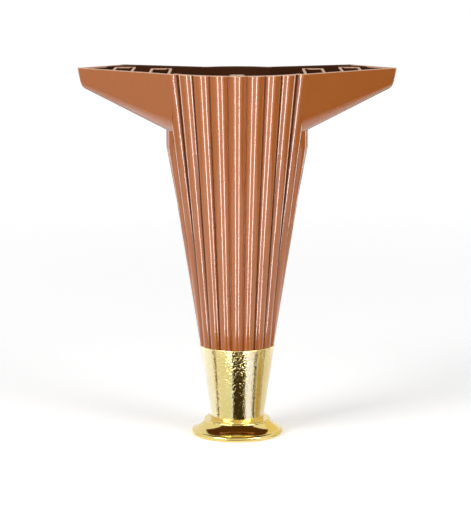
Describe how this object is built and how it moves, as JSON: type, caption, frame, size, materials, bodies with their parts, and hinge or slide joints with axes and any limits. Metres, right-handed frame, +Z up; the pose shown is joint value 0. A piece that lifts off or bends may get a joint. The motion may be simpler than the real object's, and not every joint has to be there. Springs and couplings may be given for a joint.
{
  "type": "sofa leg",
  "caption": "Tapered reeded corner leg for a sofa, with two hollow wings under the frame and a ferrule and flanged foot below.",
  "frame": {"origin": "middle of the foot, on the floor", "axes": "+Z up along the column's axis, -Y towards the reeded front corner, +X to the right seen from the front"},
  "size_m": [0.159, 0.0916, 0.18],
  "materials": {
    "copper_plastic": "copper metallic lacquer, satin gloss",
    "gold_ferrule": "bright gold plating with a faint orange peel",
    "gold_foot": "bright smooth gold plating",
    "screw_steel": "zinc-plated"
  },
  "bodies": {
    "root": {"leg_body": "copper_plastic", "ferrule": "gold_ferrule", "foot_base": "gold_foot", "foot_screw": "screw_steel"}
  },
  "joints": []
}
